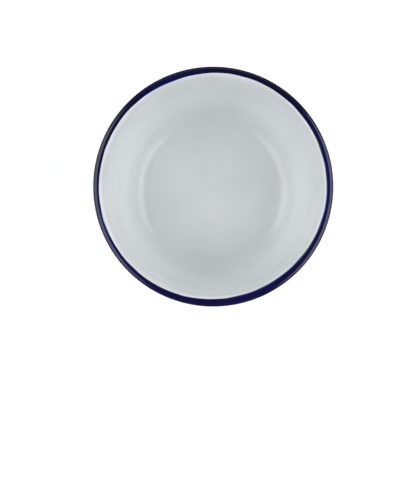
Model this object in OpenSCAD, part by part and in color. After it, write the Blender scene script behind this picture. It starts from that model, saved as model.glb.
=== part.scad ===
// Enamel basin bowl: a pressed steel shell with a rolled rim, fired in layers of glass enamel.
// The bowl stands on z = 0 with its axis on Z. Every piece is a revolved section.
// A depth is measured through the sheet, from the finished outside towards the inside of the bowl.

/* [Bowl] */
// Overall diameter, over the finished rim
rim_d = 160; // [140:1:200]
// Overall height
bowl_h = 73; // [55:1:95]
// Diameter of the flat that the bowl stands on
base_d = 92.5; // [70:0.5:105]
// Outside radius of the corner between base and wall
corner_r = 13.5; // [8:0.5:18]
// Radius of the slow curve that turns the top of the wall outwards
neck_r = 100; // [60:5:200]
// How far that curve turns the wall, in degrees
neck_turn = 8; // [0:0.5:12]

/* [Rolled rim] */
// Radius under the lip, where the wall flares out to the bead
flare_r = 3.8; // [3:0.1:6]
// Finished diameter of the rolled bead
bead_d = 3.3; // [2.7:0.1:4.2]
// How far the lip has turned below level where the bead begins, in degrees
lip_droop = 20; // [0:1:25]
// Width of the coloured band on the rim, seen from above
edging_w = 4; // [3:0.1:5.5]

/* [Sheet and coats] */
// Thickness of the steel sheet
steel_t = 0.6; // [0.4:0.05:0.75]
// Thickness of the dark ground coat on each side of the steel
ground_t = 0.1; // [0.08:0.01:0.15]
// Thickness of the white cover coat on each side
cover_t = 0.2; // [0.1:0.01:0.25]
// Thickness of the blue coat on the rim
edging_t = 0.2; // [0.1:0.01:0.25]

/* [Hidden] */

// Degrees between points on a round stretch of a section, and the sides of each revolve
arc_step = 5;
$fn = 180;

// Depth of each face through the sheet
outside_face = 0;
outer_ground = outside_face + cover_t;
outer_steel = outer_ground + ground_t;
inner_steel = outer_steel + steel_t;
inner_ground = inner_steel + ground_t;
inside_face = inner_ground + cover_t;

// Radii of the bead's layers, from the finished face down to the hollow that the curl encloses
bead_r = bead_d / 2;
bead_ground_r = bead_r - edging_t;
bead_steel_r = bead_ground_r - ground_t;
bead_core_r = bead_steel_r - steel_t;

// Centres of the round stretches of the section, as [radius, height]. The bead begins at this angle about the
// flare's centre, where the two finished faces share a tangent.
flare_end = 90 - lip_droop;
lip_r = flare_r + inner_ground + edging_t;
flare_to_bead = lip_r - bead_r;
flare_c = [rim_d / 2 - bead_r - flare_to_bead * cos(flare_end), bowl_h - lip_r];
bead_c = flare_c + flare_to_bead * [cos(flare_end), sin(flare_end)];
corner_c = [base_d / 2, corner_r];

// The wall is a straight line that touches the corner and the neck's arc. The neck turns further out and runs
// on into the flare.
corner_to_flare = flare_c - corner_c;
wall_reach = corner_r + neck_r - (neck_r - flare_r) * cos(neck_turn);
wall_lean = acos(wall_reach / norm(corner_to_flare)) - atan2(corner_to_flare[1], corner_to_flare[0]);
neck_lean = wall_lean + neck_turn;
neck_c = flare_c + (neck_r - flare_r) * [cos(neck_lean), -sin(neck_lean)];
neck_start = 180 - wall_lean;
flare_start = 180 - neck_lean;

// Where the coloured band ends on the flare inside the bowl, as an angle about the flare's centre
edging_edge = acos((rim_d / 2 - edging_w - flare_c[0]) / (flare_r + inside_face));

// The curled edge stops this far short of the flare above it, and the ground coat bridges the gap
curl_gap = ground_t;

// A seam is where a circle round the bead meets one round the flare, on the side towards the wall. It is given
// by the two radii, and found as an angle about the bead's centre or the flare's.
curl_seam = [bead_steel_r, flare_r + outer_steel - curl_gap];
ground_seam = [bead_ground_r, flare_r + outer_ground];
face_seam = [bead_r, flare_r + outside_face];
function seam_at_bead(seam) =
    flare_end + acos((seam[1] ^ 2 - flare_to_bead ^ 2 - seam[0] ^ 2) / (2 * flare_to_bead * seam[0]));
function seam_at_flare(seam) =
    let (point = bead_c + seam[0] * [cos(seam_at_bead(seam)), sin(seam_at_bead(seam))] - flare_c)
    atan2(point[1], point[0]);

// Points on an arc, from one angle to another
function arc(centre, radius, from, to) =
    let (steps = max(1, ceil(abs(to - from) / arc_step)), turn = (to - from) / steps)
    [for (i = [0 : steps]) centre + radius * [cos(from + turn * i), sin(from + turn * i)]];
function reversed(points) = [for (i = [len(points) - 1 : -1 : 0]) points[i]];

// Stretches of a face at a given depth or radius, in order from the axis out to the curled edge
function floor_and_wall(depth) =
    concat(
        [[0, depth]],
        arc(corner_c, corner_r - depth, -90, -wall_lean),
        arc(neck_c, neck_r + depth, neck_start, flare_start));
function flare(depth, from, to) = arc(flare_c, flare_r + depth, from, to);
function bead(radius, from, to) = arc(bead_c, radius, from, to);
function lip(depth) = concat(flare(depth, flare_start, edging_edge), flare(depth, edging_edge, flare_end));

// One turn of the bead, counted clockwise from its top
function unwound(angle) = angle - 360;

// A layer is the ring swept by the outline that its two faces close
module layer(near_face, far_face) {
    outline = concat(near_face, reversed(far_face));
    same = 1e-6;
    rotate_extrude()
        polygon([for (i = [0 : len(outline) - 1])
            if (norm(outline[i] - outline[(i + 1) % len(outline)]) > same) outline[i]]);
}

// Pressed sheet: base, corner, wall, neck and flare, with its edge curled out and under into a hollow bead
module steel_shell() {
    color("#8f9499")
        layer(
            concat(
                floor_and_wall(outer_steel),
                flare(outer_steel, flare_start, seam_at_flare(curl_seam)),
                flare(outer_steel, seam_at_flare(curl_seam), flare_end),
                bead(bead_core_r, flare_end, unwound(seam_at_bead(curl_seam)))),
            concat(
                floor_and_wall(inner_steel),
                lip(inner_steel),
                bead(bead_steel_r, flare_end, unwound(seam_at_bead(curl_seam)))));
}

// Dark first coat, all over the steel and across the seam where the curled edge meets the flare
module ground_coat() {
    color("#20242c")
        layer(
            concat(
                floor_and_wall(outer_ground),
                flare(outer_ground, flare_start, seam_at_flare(ground_seam)),
                reversed(bead(bead_ground_r, flare_end, unwound(seam_at_bead(ground_seam)))),
                reversed(lip(inner_ground)),
                reversed(floor_and_wall(inner_ground))),
            concat(
                floor_and_wall(outer_steel),
                flare(outer_steel, flare_start, seam_at_flare(curl_seam)),
                reversed(bead(bead_steel_r, flare_end, unwound(seam_at_bead(curl_seam)))),
                reversed(lip(inner_steel)),
                reversed(floor_and_wall(inner_steel))));
}

// White coat inside the bowl, up to the coloured band
module inside_cover_coat() {
    color("#eaeef0")
        layer(
            concat(floor_and_wall(inner_ground), flare(inner_ground, flare_start, edging_edge)),
            concat(floor_and_wall(inside_face), flare(inside_face, flare_start, edging_edge)));
}

// White coat outside the bowl, up to the seam behind the bead
module outside_cover_coat() {
    color("#e4e9ec")
        layer(
            concat(
                floor_and_wall(outside_face),
                flare(outside_face, flare_start, seam_at_flare(face_seam))),
            concat(
                floor_and_wall(outer_ground),
                flare(outer_ground, flare_start, seam_at_flare(ground_seam))));
}

// Blue coat over the crest and round the bead, from the band's edge inside the bowl to the seam
module rim_edging() {
    color("#1a1858")
        layer(
            concat(
                flare(inner_ground, edging_edge, flare_end),
                bead(bead_ground_r, flare_end, unwound(seam_at_bead(ground_seam)))),
            concat(
                flare(inner_ground + edging_t, edging_edge, flare_end),
                bead(bead_r, flare_end, unwound(seam_at_bead(face_seam)))));
}

steel_shell();
ground_coat();
inside_cover_coat();
outside_cover_coat();
rim_edging();
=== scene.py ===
"""Enamel basin bowl: its fired coats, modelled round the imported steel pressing, and a studio stage."""

import math
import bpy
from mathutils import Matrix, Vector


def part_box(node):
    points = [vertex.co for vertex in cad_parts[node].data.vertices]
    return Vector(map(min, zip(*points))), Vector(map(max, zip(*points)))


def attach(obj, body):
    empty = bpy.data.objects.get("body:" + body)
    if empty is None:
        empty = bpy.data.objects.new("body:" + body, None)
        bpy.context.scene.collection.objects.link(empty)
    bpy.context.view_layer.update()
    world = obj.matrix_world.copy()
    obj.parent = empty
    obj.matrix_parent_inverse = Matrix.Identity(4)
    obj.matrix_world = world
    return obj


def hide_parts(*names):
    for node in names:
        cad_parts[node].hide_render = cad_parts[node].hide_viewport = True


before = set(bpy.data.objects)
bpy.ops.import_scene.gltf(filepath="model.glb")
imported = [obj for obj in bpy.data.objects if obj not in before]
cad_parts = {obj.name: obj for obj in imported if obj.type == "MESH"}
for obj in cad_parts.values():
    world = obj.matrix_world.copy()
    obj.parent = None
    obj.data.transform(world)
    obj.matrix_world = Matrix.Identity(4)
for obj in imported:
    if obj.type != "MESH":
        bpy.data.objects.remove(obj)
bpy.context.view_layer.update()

from types import SimpleNamespace

import bpy
import numpy as np
from bpy.props import FloatProperty, FloatVectorProperty, PointerProperty
from mathutils import Matrix, Vector

bl_info = {
    "name": "Enamel Basin Bowl",
    "version": (1, 0, 0),
    "blender": (4, 5, 0),
    "location": "3D Viewport > Sidebar > Enamel Bowl",
    "description": "Models the enamel coats of a rolled-rim basin bowl and sets up its studio stage",
    "category": "Object",
}

MM = 0.001

# The frame gives the overall sizes, and each coat's depth through the sheet where the base lies flat
RIM_D = 2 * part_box("rim_edging")[1].x
BOWL_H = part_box("rim_edging")[1].z
COVER_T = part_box("ground_coat")[0].z
INNER_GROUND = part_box("inside_cover_coat")[0].z

# Points round each ring, rings on each stretch of the section, and the angle from which an edge is sharp
AROUND = 512
FLOOR_ROWS = 14
CORNER_ROWS = 24
WALL_ROWS = 18
NECK_ROWS = 12
FLARE_ROWS = 20
TAPER_ROWS = 8
BEAD_ROWS = 60
BEAD_BACK_ROWS = 24
SHARP_ANGLE = math.radians(40)

# Laps of a hand-held brush round the rim, as (place in degrees, height, spread in degrees). The first
# set widens the blue band, in mm. The second lengthens the stretch over which the blue is thin along
# its edge, in mm. The third adds to how lean the brush was, from 0 where it was full to 1.
WIDTH_LAPS = ((22, 0.55, 28), (112, 0.95, 13), (200, -0.25, 22), (296, 1.45, 28))
THIN_LAPS = ((116, 1.6, 10), (197, 1.5, 11), (297, 1.5, 12), (352, 1.7, 9))
LEAN_LAPS = ((2, 0.8, 24), (110, 0.5, 14), (215, 0.5, 28), (285, 0.6, 22))
LEAN_BETWEEN = 0.1

# Tremble of the hand in the band's width and in the thin stretch, as (waves in a turn, height in mm,
# phase in degrees)
WIDTH_TREMBLE = ((19, 0.05, 10), (31, 0.04, 200))
THIN_TREMBLE = ((23, 0.12, 100), (41, 0.1, 250))

# The glass has sunk on the bead, and more so by a share of what the laps add to the thin stretch. It is
# at its full height at the seam behind the bead, and has sunk within this angle from there.
BEAD_SINK = 0.027 * MM
SINK_SHARE = 0.012
SEAM_ANGLE = math.radians(30)

# Molten glass runs thin over the bead's shoulder. The loss grows between the first two angles of the
# face and fades between the last two, in degrees from straight outwards, where 90 is the crest.
SHOULDER_LOSS = 0.085 * MM
SHOULDER_START = (100, 80)
SHOULDER_STOP = (-10, 60)

# Faint waves that the pressing leaves in base and wall, as (waves in a turn, length along the section in
# mm, height in mm, phase in degrees). They fade out towards the axis and, outside, towards the flat that
# the bowl stands on, and end where the flare begins.
PRESSING_WAVES = ((3, 57, 0.022, 20), (5, 38, 0.014, 130), (8, 29, 0.008, 250))
AXIS_FADE = 30 * MM
STANDING_FADE = (1 * MM, 14 * MM)

# At the blue coat's edge the white dips by the swell, and thins away under the blue within the taper,
# which the laps and the tremble change within its limits. The blue rounds over within the run, a share
# of the taper, and farther in it is never thinner than the least coat.
EDGE_SWELL = 0.05 * MM
EDGE_TAPER = 0.8 * MM
TAPER_LIMITS = (0.3 * MM, 2.4 * MM)
EDGE_RUN = 0.6
LEAST_COAT = 0.004 * MM

# Thicknesses in mm at which the blue looks cobalt and navy where it lies over white, and between which
# its edge gives way to the tone of the full coat. A streak changes the thickness by these factors.
COBALT_AT = 0.015
NAVY_AT = 0.065
FULL_COAT = (0.035, 0.06)
STREAK_FACTORS = (0.75, 1.4)

# Width of each pattern in the finishes. Bubbles and grain are drawn coarser than they are, to show.
SPRAY_PASS = 38 * MM
WHITE_SWELL = 17 * MM
WHITE_PEEL = 3 * MM
BRUSH_STREAK = 6 * MM
BLUE_PEEL = 4 * MM
GROUND_BUBBLE = 0.8 * MM
STEEL_GRAIN = 0.5 * MM
BOARD_TOOTH = 2 * MM

# Most values of a noise pattern lie within the first range, and its middle ones within the second
NOISE_RANGE = (0.3, 0.7)
NOISE_MIDDLE = (0.35, 0.65)

# Stage, in metres: the floor is a disc with a ring round it, just below the bowl, and the backdrop is a
# dome whose first ring lies this many degrees up. The camera sees past its far side.
STAGE_AROUND = 96
STAGE_R = 6.0
FLOOR_DISC_R = 0.5
FLOOR_DROP = 0.05 * MM
BACKDROP_TOP = 89
BACKDROP_ROWS = 24
CLIP_END = 3 * STAGE_R

# How strongly the floor glows, as (distance from the bowl's axis in metres, share of its full glow). The
# glow is weak near the axis, which paints a shadow round the bowl's base.
FLOOR_GLOW = ((0.045, 0.08), (0.095, 0.5), (0.4, 0.5), (1.0, 1.0))

# Each light panel is (degrees anticlockwise from +X, width, then distance from the axis and height of
# its lower edge, and the same of its upper edge)
PANELS = {
    "left": (184, 0.80, 0.71, 0.31, 0.29, 0.76),
    "right": (-6, 0.84, 0.71, 0.31, 0.34, 0.74),
    "back": (90, 0.90, 0.72, 0.27, 0.48, 0.65),
    "front": (270, 0.78, 0.72, 0.27, 0.40, 0.71),
}

# Photograph: its size, and the rim's centre and outer radius in it, in pixels from its top left corner.
# The base's centre lies off the rim's, because the camera stood a little to the side of the axis.
PHOTO_W = 415
PHOTO_H = 500
RIM_CENTRE_PX = (213.3, 186.3)
RIM_RADIUS_PX = 120.5
BASE_OFFSET_PX = (-0.8, -6.0)
SENSOR_MM = 36


def to_linear(hex_code):
    """An sRGB hex colour as linear red, green, blue and alpha."""
    srgb = np.array([int(hex_code[i:i + 2], 16) for i in (1, 3, 5)]) / 255
    linear = np.where(srgb <= 0.04045, srgb / 12.92, ((srgb + 0.055) / 1.055) ** 2.4)
    return (*linear.tolist(), 1.0)


def length_property(name, description, default):
    """A size in metres, shown in the scene's unit of length."""
    return FloatProperty(
        name=name, description=description, default=default, min=0, precision=5, unit="LENGTH")


def angle_property(name, description, degrees):
    """An angle, given in degrees and kept in radians."""
    return FloatProperty(
        name=name, description=description, default=math.radians(degrees), subtype="ANGLE")


def colour_property(name, description, hex_code):
    """A colour that is picked as sRGB and kept as linear values."""
    return FloatVectorProperty(
        name=name, description=description, default=to_linear(hex_code), size=4, subtype="COLOR")


def light_property(name, description, default):
    """A brightness, where 1 is white."""
    return FloatProperty(name=name, description=description, default=default, min=0)


class BowlSizes(bpy.types.PropertyGroup):
    """Driving sizes of the bowl's section"""

    rim_d: length_property("Rim diameter", "Overall diameter, over the finished rim", RIM_D)
    bowl_h: length_property("Height", "Overall height", BOWL_H)
    base_d: length_property("Base diameter", "Diameter of the flat that the bowl stands on", 92.5 * MM)
    corner_r: length_property("Corner radius", "Outside radius between base and wall", 13.5 * MM)
    neck_r: length_property("Neck radius", "Radius of the slow curve in the top of the wall", 100 * MM)
    neck_turn: angle_property("Neck turn", "How far the slow curve turns the wall outwards", 8)
    flare_r: length_property("Flare radius", "Radius under the lip, where the wall flares out", 3.8 * MM)
    bead_d: length_property("Bead diameter", "Finished diameter of the rolled bead", 3.3 * MM)
    edging_w: length_property("Band width", "Width of the blue band between laps, from above", 4.25 * MM)
    cover_t: length_property("White coat", "Thickness of the white coat on each side", COVER_T)
    edging_t: length_property("Blue coat", "Thickness of the blue coat on the rim", 0.2 * MM)
    inner_ground: length_property(
        "Sheet and ground", "Depth from the outside to the inner ground coat", INNER_GROUND)
    lip_droop: angle_property(
        "Lip droop", "How far the lip has turned below level where the bead begins", 20)


class BowlColours(bpy.types.PropertyGroup):
    """Colours of the coats and of the sheet under them"""

    white: colour_property("White", "White cover coat where it is thickest", "#f2f5f7")
    thin_white: colour_property("Thin white", "White cover coat where it is a little thinner", "#ecf0f2")
    deep_navy: colour_property("Deep navy", "Blue coat where the brush was full", "#0d0c27")
    navy: colour_property("Navy", "Blue coat where the brush was lean", "#120e55")
    cobalt: colour_property("Cobalt", "Blue coat where it thins out over the white", "#2440a4")
    pale_blue: colour_property("Pale blue", "Very edge of the blue coat", "#9db0de")
    ground: colour_property("Ground coat", "Dark first coat on the steel", "#20242c")
    bubble: colour_property("Bubble", "Dark first coat over a bubble", "#2c323c")
    steel: colour_property("Steel", "Pickled steel sheet", "#8f9499")
    etched_steel: colour_property("Etched steel", "Pickled steel sheet where it is etched", "#82878c")


class StageSettings(bpy.types.PropertyGroup):
    """Camera, lights, floor and backdrop"""

    camera_rise: length_property("Camera rise", "Height of the camera above the rim", 1.0)
    left_light: light_property("Left light", "Brightness of the left panel", 2.05)
    right_light: light_property("Right light", "Brightness of the right panel", 2.28)
    back_light: light_property("Back light", "Brightness of the panel behind the bowl", 0.58)
    front_light: light_property("Front light", "Brightness of the panel before the bowl", 0.12)
    room_light: light_property("Room light", "Brightness of the rest of the room", 0.06)
    floor_glow: light_property("Floor glow", "Light that the floor gives off far from the bowl", 0.9)
    floor: colour_property("Floor", "Matt white board", "#f4f5f5")
    backdrop: colour_property("Backdrop", "White paper", "#f7f8f8")


def bowl_section(sizes):
    """Works out the section: centres of its round stretches, lean of the wall, and the seams.

    Places are [radius, height]. The bead shares a tangent with the lip where the lip has turned below
    level by the droop. The wall is a straight line that touches the corner and the neck's arc, and the
    neck runs on into the flare. A seam is where a circle round the bead meets one round the flare, on the
    side towards the wall.
    """
    section = SimpleNamespace(corner_r=sizes.corner_r, neck_r=sizes.neck_r, flare_r=sizes.flare_r)
    section.inner_ground = sizes.inner_ground
    section.inside_face = sizes.inner_ground + sizes.cover_t
    section.bead_r = sizes.bead_d / 2
    section.bead_ground_r = section.bead_r - sizes.edging_t
    section.lip_r = sizes.flare_r + sizes.inner_ground + sizes.edging_t
    section.flare_end = math.pi / 2 - sizes.lip_droop
    flare_to_bead = section.lip_r - section.bead_r
    across, up = flare_to_bead * math.cos(section.flare_end), flare_to_bead * math.sin(section.flare_end)
    section.flare_c = np.array([sizes.rim_d / 2 - section.bead_r - across, sizes.bowl_h - section.lip_r])
    section.bead_c = section.flare_c + np.array([across, up])
    section.corner_c = np.array([sizes.base_d / 2, sizes.corner_r])
    run, rise = section.flare_c - section.corner_c
    neck_to_flare = sizes.neck_r - sizes.flare_r
    wall_reach = sizes.corner_r + sizes.neck_r - neck_to_flare * math.cos(sizes.neck_turn)
    section.lean = math.acos(wall_reach / math.hypot(run, rise)) - math.atan2(rise, run)
    neck_lean = section.lean + sizes.neck_turn
    toward_neck = np.array([math.cos(neck_lean), -math.sin(neck_lean)])
    section.neck_c = section.flare_c + neck_to_flare * toward_neck
    section.neck_start = math.pi - section.lean
    section.flare_start = math.pi - neck_lean

    def seam(bead, flare):
        """Angles about the bead's centre, counted clockwise from its top, and about the flare's."""
        reach = (flare ** 2 - flare_to_bead ** 2 - bead ** 2) / (2 * flare_to_bead * bead)
        at_bead = section.flare_end + math.acos(reach)
        point = section.bead_c + bead * np.array([math.cos(at_bead), math.sin(at_bead)])
        radius, height = point - section.flare_c
        return at_bead - 2 * math.pi, math.atan2(height, radius)

    section.face_seam_at_bead, section.face_seam_at_flare = seam(section.bead_r, sizes.flare_r)
    section.ground_seam_at_bead, section.ground_seam_at_flare = seam(
        section.bead_ground_r, sizes.flare_r + sizes.cover_t)
    return section


def turns():
    """The angle of each point round a ring, anticlockwise from +X."""
    return np.arange(AROUND) * (2 * math.pi / AROUND)


def rim_laps(laps):
    """Adds up bells round the rim, each with its own place, height and spread."""
    place, height, spread = np.array(laps).T[:, :, None]
    nearness = np.cos(turns() - np.radians(place)) - 1
    return np.sum(height * np.exp(nearness / np.radians(spread) ** 2), axis=0)


def rim_tremble(waves):
    """Adds up cosines round the rim, each with its own count, height and phase."""
    count, height, phase = np.array(waves).T[:, :, None]
    return np.sum(height * np.cos(count * turns() + np.radians(phase)), axis=0)


def ease(share):
    """A smooth step: the cubic that is level at 0 and at 1."""
    share = np.clip(share, 0, 1)
    return share * share * (3 - 2 * share)


def arc(centre, radius, angle):
    """Points on circles round a centre, as an array of [radius, height] by row by turn."""
    radius, angle = np.broadcast_arrays(radius, angle)
    flat = np.stack([centre[0] + radius * np.cos(angle), centre[1] + radius * np.sin(angle)])
    return np.broadcast_to(flat, (2, len(angle), AROUND))


def steps(first, last, rows):
    """Even steps from first to last, one to a row. Either end may differ from turn to turn."""
    share = np.linspace(0, 1, rows)[:, None]
    return first + (np.atleast_1d(last) - first) * share


def straight(start, end, rows):
    """Rows strictly between two rings, along straight lines."""
    share = np.linspace(0, 1, rows + 2)[1:-1, None]
    return start[:, None] + (end - start)[:, None] * share


def sheet_face(section, depth, flare_stop):
    """A face of the sheet at a depth, from the axis outwards.

    It is a level floor, the corner's arc, a straight wall, the neck's arc and the flare's arc.
    """
    corner_angle = steps(-math.pi / 2, -section.lean, CORNER_ROWS)
    corner = arc(section.corner_c, section.corner_r - depth, corner_angle)
    neck_angle = steps(section.neck_start, section.flare_start, NECK_ROWS)[:-1]
    neck = arc(section.neck_c, section.neck_r + depth, neck_angle)
    flare_angle = steps(section.flare_start, flare_stop, FLARE_ROWS)
    flare = arc(section.flare_c, section.flare_r + depth, flare_angle)
    pole = np.broadcast_to(np.array([[0.0], [depth]]), (2, AROUND))
    floor = straight(pole, corner[:, 0], FLOOR_ROWS)
    wall = straight(corner[:, -1], neck[:, 0], WALL_ROWS)
    return np.concatenate([pole[:, None], floor, corner, wall, neck, flare], axis=1)


def along_section(face):
    """Distance of each point from the axis along its face."""
    gaps = np.hypot(*np.diff(face, axis=1))
    return np.concatenate([np.zeros((1, AROUND)), np.cumsum(gaps, axis=0)])


def left_normal(face):
    """Unit normals on the left of a face, as it runs from the axis outwards."""
    step_r, step_z = np.gradient(face, axis=1)
    return np.stack([-step_z, step_r]) / np.hypot(step_r, step_z)


def pressing_waves(face):
    """Height of the pressing's faint waves on a face, up to where its flare begins.

    They are cosines that run slantwise, round the bowl and along its section.
    """
    along = along_section(face)
    count, length, height, phase = np.array(PRESSING_WAVES).T[:, :, None, None]
    slant = count * turns() + np.radians(phase) + 2 * math.pi * along / (length * MM)
    rows = face.shape[1]
    below_flare = (np.arange(rows) <= rows - FLARE_ROWS)[:, None]
    return MM * np.sum(height * np.cos(slant), axis=0) * ease(along / AXIS_FADE) * below_flare


def edging_angle(sizes, section):
    """Angle about the flare's centre where the blue ends inside the bowl, from its width from above."""
    width = sizes.edging_w + MM * (rim_laps(WIDTH_LAPS) + rim_tremble(WIDTH_TREMBLE))
    reach = sizes.rim_d / 2 - width - section.flare_c[0]
    return np.arccos(reach / (section.flare_r + section.inside_face))


def taper_turn(section):
    """Angle about the flare's centre in which the white thins away under the blue, round the rim."""
    taper = EDGE_TAPER + MM * (rim_laps(THIN_LAPS) + rim_tremble(THIN_TREMBLE))
    return np.clip(taper, *TAPER_LIMITS) / section.lip_r


def white_gone(section, edge, angle):
    """Share of the white coat that has thinned away under the blue: a smooth step across the taper."""
    return ease((edge - angle) / taper_turn(section))


def white_under_blue(sizes, section, edge, angle):
    """Radius about the flare's centre of the white coat's face under the blue, down to the ground coat."""
    thinned = (sizes.cover_t - EDGE_SWELL) * white_gone(section, edge, angle)
    return section.flare_r + section.inside_face - EDGE_SWELL - thinned


def closed_mesh(name, outline, material, body="root"):
    """Revolves an outline that runs anticlockwise round its solid, as [radius, height] by row by turn.

    An outline that starts and ends on the axis is closed there by a fan at each end. Any other is closed
    by joining its last row to its first.
    """
    turn = turns()
    rows = outline.shape[1]
    points = np.stack([outline[0] * np.cos(turn), outline[0] * np.sin(turn), outline[1]], axis=-1)
    if np.any(outline[0, 0]):
        points = points.reshape(-1, 3)
        near = np.arange(rows * AROUND).reshape(rows, AROUND)
        far = np.roll(near, -1, axis=0)
        fans = []
    else:
        points = np.concatenate([points[0, :1], points[1:-1].reshape(-1, 3), points[-1, :1]])
        index = np.arange((rows - 2) * AROUND).reshape(rows - 2, AROUND) + 1
        near, far = index[:-1], index[1:]
        first, last = np.zeros(AROUND, int), np.full(AROUND, len(points) - 1)
        fans = [
            np.stack([first, np.roll(index[0], -1), index[0]], axis=-1),
            np.stack([last, index[-1], np.roll(index[-1], -1)], axis=-1),
        ]
    corners = [near, np.roll(near, -1, axis=1), np.roll(far, -1, axis=1), far]
    quads = np.stack(corners, axis=-1).reshape(-1, 4)
    faces = [face for part in (*fans, quads) for face in part.tolist()]
    mesh = bpy.data.meshes.new(name)
    mesh.from_pydata(points.tolist(), [], faces)
    mesh.validate()
    mesh.shade_smooth()
    mesh.set_sharp_from_angle(angle=SHARP_ANGLE)
    mesh.materials.append(material)
    piece = bpy.data.objects.new(name, mesh)
    bpy.context.scene.collection.objects.link(piece)
    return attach(piece, body)


def inside_coat_outline(sizes, section):
    """White coat inside the bowl: the ground's face outwards from the axis, then the finished face back.

    The finished face dips a little towards the blue coat's edge, runs on under the blue and thins to
    nothing.
    """
    edge = edging_angle(sizes, section)
    taper_end = edge - taper_turn(section)
    ground = sheet_face(section, section.inner_ground, taper_end)
    finished = sheet_face(section, section.inside_face, edge)
    dip = np.zeros((finished.shape[1], 1))
    dip[-FLARE_ROWS:] = EDGE_SWELL * ease(np.linspace(0, 1, FLARE_ROWS))[:, None]
    finished = finished + left_normal(finished) * (pressing_waves(finished) - dip)
    angle = steps(edge, taper_end, TAPER_ROWS)
    under = arc(section.flare_c, white_under_blue(sizes, section, edge, angle), angle)
    return np.concatenate([ground[:, :-1], under[:, ::-1], finished[:, -2::-1]], axis=1)


def outside_coat_outline(sizes, section):
    """White coat outside the bowl: the finished face outwards to the seam, then the ground's face back."""
    finished = sheet_face(section, 0, section.face_seam_at_flare)
    ground = sheet_face(section, sizes.cover_t, section.ground_seam_at_flare)
    low, high = STANDING_FADE
    lift = ease((finished[1] - low) / (high - low))
    finished = finished - left_normal(finished) * pressing_waves(finished) * lift
    return np.concatenate([finished, ground[:, ::-1]], axis=1)


def blue_loss(angle):
    """How much thinner the blue coat is than its full thickness, from the angle its face has turned to.

    The glass has sunk all over the bead, by an amount that the laps change round the rim, and it has run
    off the bead's shoulder.
    """
    start, top = np.radians(SHOULDER_START)
    stop, bottom = np.radians(SHOULDER_STOP)
    shoulder = ease((start - angle) / (start - top)) * ease((angle - stop) / (bottom - stop))
    return BEAD_SINK + SINK_SHARE * MM * rim_laps(THIN_LAPS) + SHOULDER_LOSS * shoulder


def blue_coat_outline(sizes, section):
    """Blue coat on the rim, and how thick it looks at each point.

    The finished face runs from the seam behind the bead, round the bead and over the crest to the wavy
    edge inside the bowl, where it rounds over. The back runs under the white's taper, then along the
    ground coat to the seam. The coat looks as thick as it is over white, and its loss shows less the more
    of the white is gone.
    """
    edge = edging_angle(sizes, section)
    taper_end = edge - taper_turn(section)
    bead_angle = steps(section.face_seam_at_bead, section.flare_end, BEAD_ROWS)[:-1]
    sunk = ease((bead_angle - section.face_seam_at_bead) / SEAM_ANGLE)
    bead = arc(section.bead_c, section.bead_r - blue_loss(bead_angle) * sunk, bead_angle)
    # Rows on the lip lie closer together towards the edge
    share = 1 - (1 - np.linspace(0, 1, FLARE_ROWS)[:, None]) ** 2
    lip_angle = section.flare_end + (edge - section.flare_end) * share
    from_edge = np.clip((edge - lip_angle) / (EDGE_RUN * taper_turn(section)), 0, 1)
    rounding = np.sqrt(1 - (1 - from_edge) ** 2)
    white = white_under_blue(sizes, section, edge, lip_angle)
    lip_coat = np.maximum(section.lip_r - blue_loss(lip_angle) - white, LEAST_COAT) * rounding
    lip = arc(section.flare_c, white + lip_coat, lip_angle)
    under_angle = steps(edge, taper_end, TAPER_ROWS)[1:]
    under = arc(section.flare_c, white_under_blue(sizes, section, edge, under_angle), under_angle)
    back_angle = steps(taper_end, section.flare_end, TAPER_ROWS)[1:-1]
    back = arc(section.flare_c, section.flare_r + section.inner_ground, back_angle)
    ground_angle = steps(section.flare_end, section.ground_seam_at_bead, BEAD_BACK_ROWS)
    ground = arc(section.bead_c, section.bead_ground_r, ground_angle)
    outline = np.concatenate([bead, lip, under, back, ground], axis=1)
    seen = np.full(outline.shape[1:], sizes.edging_t)
    lip_rows = slice(bead.shape[1], bead.shape[1] + lip.shape[1])
    seen[lip_rows] = lip_coat + blue_loss(lip_angle) * white_gone(section, edge, lip_angle)
    return outline, seen


def add_node(tree, kind, inputs=None, **settings):
    """Adds a node, sets its properties, and gives each input a value or a link from another's output."""
    node = tree.nodes.new(kind)
    for key, value in settings.items():
        setattr(node, key, value)
    for key, value in (inputs or {}).items():
        if isinstance(value, bpy.types.NodeSocket):
            tree.links.new(value, node.inputs[key])
        else:
            node.inputs[key].default_value = value
    return node


def new_material(name):
    """An empty node material, its tree and its Object coordinates."""
    material = bpy.data.materials.new(name)
    material.use_nodes = True
    tree = material.node_tree
    tree.nodes.clear()
    return material, tree, add_node(tree, "ShaderNodeTexCoord").outputs["Object"]


def set_ramp(ramp, stops):
    """Gives a colour ramp its (position, colour) stops, of which it has two to begin with."""
    while len(ramp.elements) < len(stops):
        ramp.elements.new(1.0)
    for element, (position, colour) in zip(ramp.elements, stops):
        element.position = position
        element.color = colour


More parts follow.
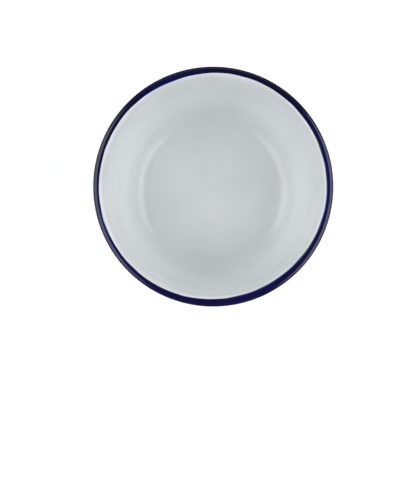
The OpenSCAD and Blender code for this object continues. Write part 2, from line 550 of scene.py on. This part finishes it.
def white_enamel(colours):
    """White vitreous enamel, sprayed on and fired: opaque white glass, glossy, faintly uneven in tone."""
    material, tree, place = new_material("white_vitreous_enamel_fired")
    # The sprayed coat is a little thicker in some places than in others, over patches as wide as a pass
    cloud = add_node(tree, "ShaderNodeTexNoise", {"Vector": place, "Scale": 1 / SPRAY_PASS, "Detail": 2.0})
    tone = add_node(tree, "ShaderNodeValToRGB", {"Fac": cloud.outputs["Fac"]})
    set_ramp(tone.color_ramp, list(zip(NOISE_MIDDLE, (colours.thin_white, colours.white))))
    # Fired glass keeps a slight orange peel and longer swells, which soften the edge of a reflection
    peel = add_node(tree, "ShaderNodeTexNoise", {"Vector": place, "Scale": 1 / WHITE_PEEL, "Detail": 1.0})
    swell = add_node(tree, "ShaderNodeTexNoise", {"Vector": place, "Scale": 1 / WHITE_SWELL, "Detail": 1.0})
    gloss = add_node(
        tree, "ShaderNodeMapRange", {"Value": swell.outputs["Fac"], "To Min": 0.03, "To Max": 0.08})
    long_bump = add_node(
        tree, "ShaderNodeBump",
        {"Height": swell.outputs["Fac"], "Distance": 0.02 * MM, "Strength": 1.0})
    bump = add_node(
        tree, "ShaderNodeBump",
        {"Height": peel.outputs["Fac"], "Distance": 0.004 * MM, "Strength": 1.0,
         "Normal": long_bump.outputs["Normal"]})
    shader = add_node(
        tree, "ShaderNodeBsdfPrincipled",
        {"Base Color": tone.outputs["Color"], "Roughness": gloss.outputs["Result"], "IOR": 1.5,
         "Normal": bump.outputs["Normal"]})
    add_node(tree, "ShaderNodeOutputMaterial", {"Surface": shader.outputs["BSDF"]})
    return material


def blue_enamel(colours):
    """Cobalt-blue vitreous enamel, brushed on the rim and fired: navy glass, cobalt where it thins out."""
    material, tree, place = new_material("cobalt_blue_vitreous_enamel_fired")
    seen = add_node(tree, "ShaderNodeAttribute", attribute_name="seen_thickness_mm").outputs["Fac"]
    # Brushed glass is streaky along its edge, so the thickness that the eye reads there wanders
    streak = add_node(
        tree, "ShaderNodeTexNoise", {"Vector": place, "Scale": 1 / BRUSH_STREAK, "Detail": 2.0})
    uneven = add_node(
        tree, "ShaderNodeMapRange",
        {"Value": streak.outputs["Fac"], "From Min": NOISE_RANGE[0], "From Max": NOISE_RANGE[1],
         "To Min": STREAK_FACTORS[0], "To Max": STREAK_FACTORS[1]})
    product = add_node(
        tree, "ShaderNodeMath", {0: seen, 1: uneven.outputs["Result"]}, operation="MULTIPLY")
    depth = product.outputs["Value"]
    edge = add_node(tree, "ShaderNodeValToRGB", {"Fac": depth})
    set_ramp(
        edge.color_ramp,
        [(0.0, colours.pale_blue), (COBALT_AT, colours.cobalt), (NAVY_AT, colours.navy)])
    # The full coat is a lighter navy where the brush was lean
    lean = add_node(tree, "ShaderNodeAttribute", attribute_name="lean_brush").outputs["Fac"]
    full = add_node(tree, "ShaderNodeValToRGB", {"Fac": lean})
    set_ramp(full.color_ramp, [(0.0, colours.deep_navy), (1.0, colours.navy)])
    cover = add_node(
        tree, "ShaderNodeMapRange",
        {"Value": depth, "From Min": FULL_COAT[0], "From Max": FULL_COAT[1]})
    # A colour mix has its factor at input 0, its colours at 6 and 7, and its result at output 2
    tone = add_node(
        tree, "ShaderNodeMix",
        {0: cover.outputs["Result"], 6: edge.outputs["Color"], 7: full.outputs["Color"]},
        data_type="RGBA")
    peel = add_node(tree, "ShaderNodeTexNoise", {"Vector": place, "Scale": 1 / BLUE_PEEL, "Detail": 1.0})
    gloss = add_node(
        tree, "ShaderNodeMapRange", {"Value": peel.outputs["Fac"], "To Min": 0.05, "To Max": 0.12})
    bump = add_node(
        tree, "ShaderNodeBump",
        {"Height": peel.outputs["Fac"], "Distance": 0.02 * MM, "Strength": 1.0})
    shader = add_node(
        tree, "ShaderNodeBsdfPrincipled",
        {"Base Color": tone.outputs[2], "Roughness": gloss.outputs["Result"], "IOR": 1.52,
         "Normal": bump.outputs["Normal"]})
    add_node(tree, "ShaderNodeOutputMaterial", {"Surface": shader.outputs["BSDF"]})
    return material


def ground_enamel(colours):
    """Dark vitreous ground coat, dipped and fired: blue-black glass with the fine bubbles of its firing."""
    material, tree, place = new_material("dark_vitreous_ground_coat_fired")
    bubble = add_node(tree, "ShaderNodeTexVoronoi", {"Vector": place, "Scale": 1 / GROUND_BUBBLE})
    tone = add_node(tree, "ShaderNodeValToRGB", {"Fac": bubble.outputs["Distance"]})
    set_ramp(tone.color_ramp, [(0.0, colours.bubble), (0.5, colours.ground)])
    bump = add_node(
        tree, "ShaderNodeBump",
        {"Height": bubble.outputs["Distance"], "Distance": 0.01 * MM, "Strength": 1.0})
    shader = add_node(
        tree, "ShaderNodeBsdfPrincipled",
        {"Base Color": tone.outputs["Color"], "Roughness": 0.2, "IOR": 1.52,
         "Normal": bump.outputs["Normal"]})
    add_node(tree, "ShaderNodeOutputMaterial", {"Surface": shader.outputs["BSDF"]})
    return material


def pickled_steel(colours):
    """Low-carbon steel sheet, pressed and pickled: dull grey metal with an etched grain."""
    material, tree, place = new_material("pickled_steel_sheet_pressed")
    grain = add_node(tree, "ShaderNodeTexNoise", {"Vector": place, "Scale": 1 / STEEL_GRAIN, "Detail": 3.0})
    tone = add_node(tree, "ShaderNodeValToRGB", {"Fac": grain.outputs["Fac"]})
    set_ramp(tone.color_ramp, list(zip(NOISE_RANGE, (colours.etched_steel, colours.steel))))
    gloss = add_node(
        tree, "ShaderNodeMapRange", {"Value": grain.outputs["Fac"], "To Min": 0.4, "To Max": 0.6})
    bump = add_node(
        tree, "ShaderNodeBump",
        {"Height": grain.outputs["Fac"], "Distance": 0.01 * MM, "Strength": 1.0})
    shader = add_node(
        tree, "ShaderNodeBsdfPrincipled",
        {"Base Color": tone.outputs["Color"], "Metallic": 1.0, "Roughness": gloss.outputs["Result"],
         "Normal": bump.outputs["Normal"]})
    add_node(tree, "ShaderNodeOutputMaterial", {"Surface": shader.outputs["BSDF"]})
    return material


def matt_board(settings):
    """White matt board for the floor, lit from below as a light table is: dull, with a fine tooth.

    Its glow is weak under the bowl, which paints a shadow round the bowl's base, and grows with distance,
    to make up for the light that the panels lose there.
    """
    material, tree, place = new_material("white_matt_board_painted_shadow")
    # Painted shadow: the glow fades towards the axis, so the floor under the bowl is darker
    distance = add_node(tree, "ShaderNodeVectorMath", {0: place}, operation="LENGTH")
    glow = add_node(tree, "ShaderNodeValToRGB", {"Fac": distance.outputs["Value"]})
    glow.color_ramp.interpolation = "EASE"
    set_ramp(
        glow.color_ramp,
        [(reach, [share * part for part in settings.floor]) for reach, share in FLOOR_GLOW])
    tooth = add_node(tree, "ShaderNodeTexNoise", {"Vector": place, "Scale": 1 / BOARD_TOOTH, "Detail": 2.0})
    bump = add_node(
        tree, "ShaderNodeBump",
        {"Height": tooth.outputs["Fac"], "Distance": 0.05 * MM, "Strength": 0.5})
    shader = add_node(
        tree, "ShaderNodeBsdfPrincipled",
        {"Base Color": settings.floor, "Roughness": 0.9, "Specular IOR Level": 0.1,
         "Emission Color": glow.outputs["Color"], "Emission Strength": settings.floor_glow,
         "Normal": bump.outputs["Normal"]})
    add_node(tree, "ShaderNodeOutputMaterial", {"Surface": shader.outputs["BSDF"]})
    return material


def backdrop_paper(settings):
    """White backdrop paper, evenly lit, so that the room ends in much the same white as the floor."""
    material, tree, _ = new_material("white_backdrop_paper")
    glow = add_node(tree, "ShaderNodeEmission", {"Color": settings.backdrop, "Strength": 1.0})
    add_node(tree, "ShaderNodeOutputMaterial", {"Surface": glow.outputs["Emission"]})
    return material


def stage_surface(name, radius, height, material):
    """A surface of revolution for the stage through rings of a radius and height, capped at its first."""
    turn = np.linspace(0, 2 * math.pi, STAGE_AROUND, endpoint=False)
    level = np.repeat(height[:, None], STAGE_AROUND, axis=1)
    points = np.stack([np.outer(radius, np.cos(turn)), np.outer(radius, np.sin(turn)), level], axis=-1)
    index = np.arange(len(radius) * STAGE_AROUND).reshape(-1, STAGE_AROUND)
    after = np.roll(index, -1, axis=1)
    quads = np.stack([index[:-1], index[1:], after[1:], after[:-1]], axis=-1).reshape(-1, 4)
    cap = index[:1]
    mesh = bpy.data.meshes.new(name)
    mesh.from_pydata(points.reshape(-1, 3).tolist(), [], quads.tolist() + cap.tolist())
    mesh.shade_smooth()
    mesh.materials.append(material)
    surface = bpy.data.objects.new(name, mesh)
    bpy.context.scene.collection.objects.link(surface)
    return surface


def light_panel(name, radiance, azimuth, width, low_distance, low_height, high_distance, high_height):
    """A flat panel of even brightness that faces the bowl and leans in over it."""
    turn = math.radians(azimuth)
    outwards = Vector((math.cos(turn), math.sin(turn), 0))
    sideways = Vector((-math.sin(turn), math.cos(turn), 0))
    low = outwards * low_distance + Vector((0, 0, low_height))
    high = outwards * high_distance + Vector((0, 0, high_height))
    climb = (high - low).normalized()
    light = bpy.data.lights.new(name, "AREA")
    light.shape = "RECTANGLE"
    light.size = width
    light.size_y = (high - low).length
    light.energy = radiance * math.pi * light.size * light.size_y
    panel = bpy.data.objects.new(name, light)
    facing = Matrix((sideways, climb, sideways.cross(climb))).transposed()
    panel.matrix_world = Matrix.Translation((low + high) / 2) @ facing.to_4x4()
    panel.visible_camera = False
    bpy.context.scene.collection.objects.link(panel)


def photo_camera(sizes, settings):
    """A camera above the bowl that puts the rim's centre and radius where the photograph has them.

    The rim's radius in pixels gives the focal length. The base's offset, which the camera's rise over the
    base turns into a sideways step, gives its place.
    """
    focal_px = RIM_RADIUS_PX * settings.camera_rise / (sizes.rim_d / 2)
    rim_centre = Vector((0, 0, sizes.bowl_h))
    base_px = focal_px / (settings.camera_rise + sizes.bowl_h)
    side, up = (offset / base_px * settings.camera_rise / sizes.bowl_h for offset in BASE_OFFSET_PX)
    place = rim_centre + Vector((side, up, settings.camera_rise))
    seen = Vector((RIM_CENTRE_PX[0] - PHOTO_W / 2, PHOTO_H / 2 - RIM_CENTRE_PX[1], -focal_px))
    camera = bpy.data.cameras.new("photo_camera")
    camera.sensor_width = SENSOR_MM
    camera.lens = focal_px * SENSOR_MM / PHOTO_H
    camera.clip_end = CLIP_END
    eye = bpy.data.objects.new("photo_camera", camera)
    turn = seen.normalized().rotation_difference((rim_centre - place).normalized())
    eye.matrix_world = Matrix.Translation(place) @ turn.to_matrix().to_4x4()
    bpy.context.scene.collection.objects.link(eye)
    return eye


class BOWL_OT_white_coats(bpy.types.Operator):
    """Model the white coats inside and outside the bowl"""

    bl_idname = "enamel_bowl.white_coats"
    bl_label = "White Coats"

    def execute(self, context):
        sizes = context.scene.bowl_sizes
        section = bowl_section(sizes)
        material = white_enamel(context.scene.bowl_colours)
        outlines = {
            "inside_white_coat": (inside_coat_outline(sizes, section), "inside_cover_coat"),
            "outside_white_coat": (outside_coat_outline(sizes, section), "outside_cover_coat"),
        }
        for name, (outline, node) in outlines.items():
            coat = closed_mesh(name, outline, material)
            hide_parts(node)
        return {"FINISHED"}


class BOWL_OT_blue_rim(bpy.types.Operator):
    """Model the blue coat on the rolled rim"""

    bl_idname = "enamel_bowl.blue_rim"
    bl_label = "Blue Rim"

    def execute(self, context):
        sizes = context.scene.bowl_sizes
        outline, seen = blue_coat_outline(sizes, bowl_section(sizes))
        coat = closed_mesh("blue_rim_coat", outline, blue_enamel(context.scene.bowl_colours))
        lean = LEAN_BETWEEN + rim_laps(LEAN_LAPS)
        values = {"seen_thickness_mm": seen / MM, "lean_brush": np.broadcast_to(lean, seen.shape)}
        for name, value in values.items():
            attribute = coat.data.attributes.new(name, "FLOAT", "POINT")
            attribute.data.foreach_set("value", value.astype(np.float32).ravel())
        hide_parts("rim_edging")
        return {"FINISHED"}


class BOWL_OT_hidden_layers(bpy.types.Operator):
    """Finish the steel and the ground coat, which lie under the cover coats"""

    bl_idname = "enamel_bowl.hidden_layers"
    bl_label = "Steel and Ground Coat"

    def execute(self, context):
        colours = context.scene.bowl_colours
        finishes = {"steel_shell": pickled_steel(colours), "ground_coat": ground_enamel(colours)}
        for node, material in finishes.items():
            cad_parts[node].material_slots[0].material = material
        return {"FINISHED"}


class BOWL_OT_stage(bpy.types.Operator):
    """Set up the floor, backdrop, lights and camera"""

    bl_idname = "enamel_bowl.stage"
    bl_label = "Studio Stage"

    def execute(self, context):
        scene = context.scene
        settings = scene.bowl_stage
        floor_radius = np.array([FLOOR_DISC_R, STAGE_R])
        floor = stage_surface("floor", floor_radius, np.full(2, -FLOOR_DROP), matt_board(settings))
        floor.visible_glossy = False
        climb = np.radians(np.linspace(BACKDROP_TOP, 0, BACKDROP_ROWS))
        backdrop = stage_surface(
            "backdrop", STAGE_R * np.cos(climb), STAGE_R * np.sin(climb), backdrop_paper(settings))
        # Only the camera sees the backdrop
        backdrop.visible_diffuse = False
        backdrop.visible_glossy = False
        backdrop.visible_transmission = False
        backdrop.visible_shadow = False
        for side, panel in PANELS.items():
            light_panel(f"{side}_light_panel", getattr(settings, f"{side}_light"), *panel)
        world = bpy.data.worlds.new("dim_studio")
        world.use_nodes = True
        background = world.node_tree.nodes["Background"]
        background.inputs["Color"].default_value = (1, 1, 1, 1)
        background.inputs["Strength"].default_value = settings.room_light
        scene.world = world
        scene.view_settings.view_transform = "Standard"
        scene.camera = photo_camera(scene.bowl_sizes, settings)
        return {"FINISHED"}


class BOWL_PT_sidebar(bpy.types.Panel):
    """Sidebar tab with the bowl's operators and settings"""

    bl_idname = "BOWL_PT_sidebar"
    bl_label = "Enamel Bowl"
    bl_space_type = "VIEW_3D"
    bl_region_type = "UI"
    bl_category = "Enamel Bowl"

    def draw(self, context):
        for operator in OPERATORS:
            self.layout.operator(operator.bl_idname)
        for group in SETTINGS:
            box = self.layout.box()
            settings = getattr(context.scene, group)
            for name in settings.__annotations__:
                box.prop(settings, name)


OPERATORS = (BOWL_OT_white_coats, BOWL_OT_blue_rim, BOWL_OT_hidden_layers, BOWL_OT_stage)
SETTINGS = {"bowl_sizes": BowlSizes, "bowl_colours": BowlColours, "bowl_stage": StageSettings}
CLASSES = (*SETTINGS.values(), *OPERATORS, BOWL_PT_sidebar)


def register():
    """Registers the classes and hangs the settings on the scene."""
    for cls in CLASSES:
        bpy.utils.register_class(cls)
    for name, group in SETTINGS.items():
        setattr(bpy.types.Scene, name, PointerProperty(type=group))


def unregister():
    """Takes the settings off the scene and unregisters the classes."""
    for name in SETTINGS:
        delattr(bpy.types.Scene, name)
    for cls in reversed(CLASSES):
        bpy.utils.unregister_class(cls)


def main():
    """Builds the bowl and its stage."""
    register()
    bpy.ops.enamel_bowl.white_coats()
    bpy.ops.enamel_bowl.blue_rim()
    bpy.ops.enamel_bowl.hidden_layers()
    bpy.ops.enamel_bowl.stage()


if __name__ == "__main__":
    main()
